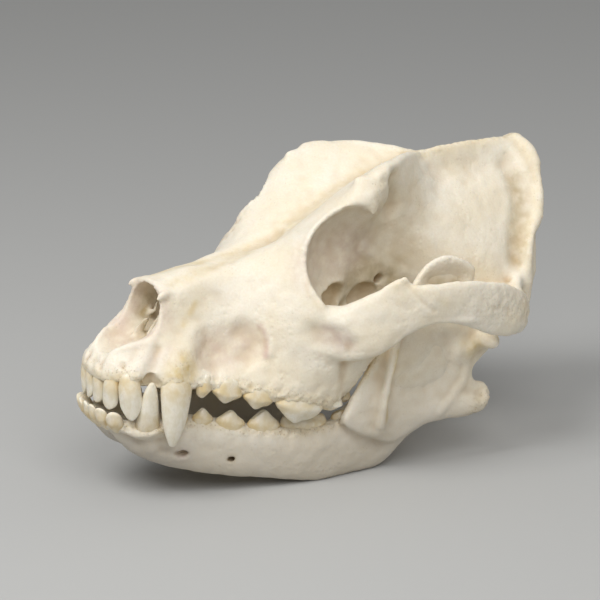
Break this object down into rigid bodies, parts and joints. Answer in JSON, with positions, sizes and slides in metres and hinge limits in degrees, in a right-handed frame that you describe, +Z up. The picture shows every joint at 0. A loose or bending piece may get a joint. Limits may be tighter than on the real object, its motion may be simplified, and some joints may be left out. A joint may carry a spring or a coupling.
{
  "type": "dog skull",
  "caption": "Life-size skull of a large broad-headed dog with its lower jaw closed, a still display model that stands on the lower edges of the jaw.",
  "frame": {"origin": "middle of the bounding box, at the level the lower jaw stands on", "axes": "+Z up, -Y forward towards the muzzle, +X the animal's left"},
  "size_m": [0.1463, 0.2447, 0.1459],
  "materials": {
    "bone": "matte, dry cream-coloured bone"
  },
  "bodies": {
    "root": {"muzzle": "bone", "forehead": "bone", "braincase": "bone", "occiput": "bone", "zygomatic_arch_left": "bone", "zygomatic_arch_right": "bone", "mandible_left": "bone", "mandible_right": "bone"}
  },
  "joints": []
}
